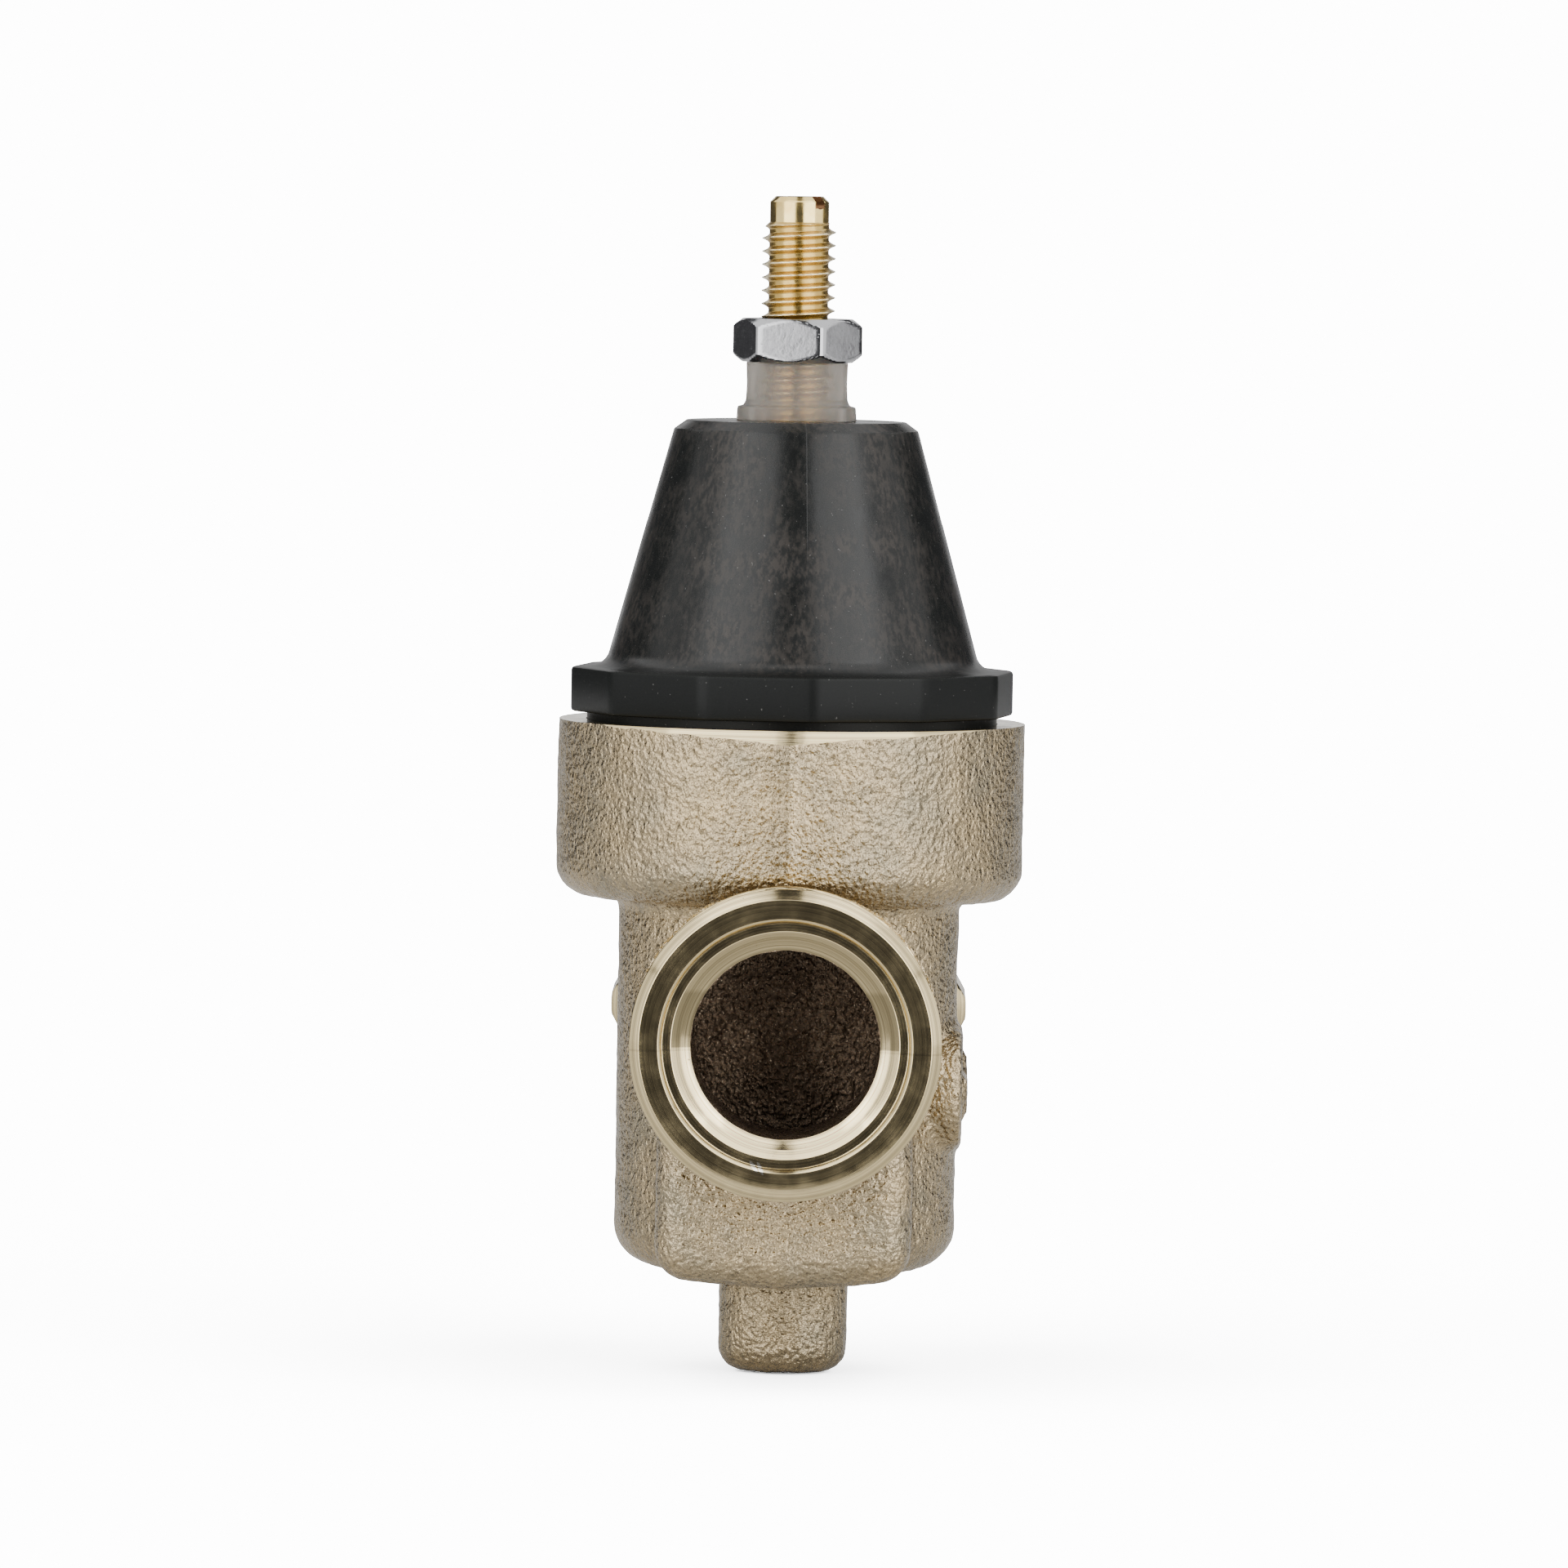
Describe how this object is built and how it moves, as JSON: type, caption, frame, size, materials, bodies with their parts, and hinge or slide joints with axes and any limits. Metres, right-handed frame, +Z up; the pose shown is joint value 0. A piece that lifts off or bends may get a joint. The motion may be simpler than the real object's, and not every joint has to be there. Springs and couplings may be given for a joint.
{
  "type": "pressure regulator",
  "caption": "Direct-acting pressure regulator: cast bronze body, union inlet, tapped hexagonal outlet, black spring cage, adjusting screw with jam nut.",
  "frame": {"origin": "centre of the inlet's end face, on the flow axis", "axes": "+Y along the flow, from the inlet to the outlet; +Z up the adjusting screw; +X to the right seen from the inlet"},
  "size_m": [0.0502, 0.085, 0.1269],
  "materials": {
    "cast_bronze": "rough sand-cast bronze with machined ends",
    "cage_plastic": "black glass-filled plastic, semi-gloss, scuffed",
    "insert_brass": "turned",
    "sleeve_nylon": "milky translucent",
    "nut_chrome": "bright plated, fine scratches",
    "screw_brass": "bright turned and rolled thread",
    "zinc_steel": "zinc plated pressing",
    "spring_steel": "oiled spring wire",
    "module_acetal": "moulded, matt",
    "diaphragm_rubber": "cloth-reinforced rubber",
    "inner_brass": "turned",
    "stainless": "turned and perforated stainless steel",
    "disc_rubber": "smooth rubber",
    "ring_rubber": "smooth rubber"
  },
  "bodies": {
    "valve_body": {"body_casting": "cast_bronze", "spring_cage": "cage_plastic", "thread_insert": "insert_brass", "seal_sleeve": "sleeve_nylon", "slip_ring": "module_acetal", "diaphragm": "diaphragm_rubber", "range_spring": "spring_steel", "poppet_spring": "spring_steel", "seat_module": "module_acetal", "seat_ring": "stainless", "module_o_ring_upper": "ring_rubber", "module_o_ring_lower": "ring_rubber", "strainer_screen": "stainless"},
    "locknut": {"locknut": "nut_chrome"},
    "spring_button": {"spring_button": "zinc_steel"},
    "adjusting_screw": {"adjusting_screw": "screw_brass"},
    "valve_stem": {"stem": "inner_brass", "stem_nut": "inner_brass", "diaphragm_plate": "zinc_steel", "lower_plate": "inner_brass", "disc_washer": "stainless", "seat_disc": "disc_rubber", "disc_holder": "inner_brass", "balance_o_ring": "ring_rubber"}
  },
  "joints": [
    {"name": "button_slide", "type": "slide", "parent": "valve_body", "child": "spring_button", "axis": [0, 0, 1], "range_m": [-0.0078, 0.005], "deforming": ["range_spring"]},
    {"name": "screw_turn", "type": "hinge", "parent": "spring_button", "child": "adjusting_screw", "pos_m": [0, 0.04, 0.07], "axis": [0, 0, 1], "range_deg": [-1995, 1280]},
    {"name": "locknut_turn", "type": "hinge", "parent": "valve_body", "child": "locknut", "pos_m": [0, 0.04, 0.0737], "axis": [0, 0, 1], "range_deg": [0, 60]},
    {"name": "stem_slide", "type": "slide", "parent": "valve_body", "child": "valve_stem", "axis": [0, 0, 1], "range_m": [0, 0.00195], "stiffness_N_per_m": 40, "springref_m": -0.005, "deforming": ["diaphragm", "poppet_spring"]}
  ],
  "couplings": [
    {"joint": "screw_turn", "follows": "button_slide", "rad_per_m": 4452.7}
  ]
}
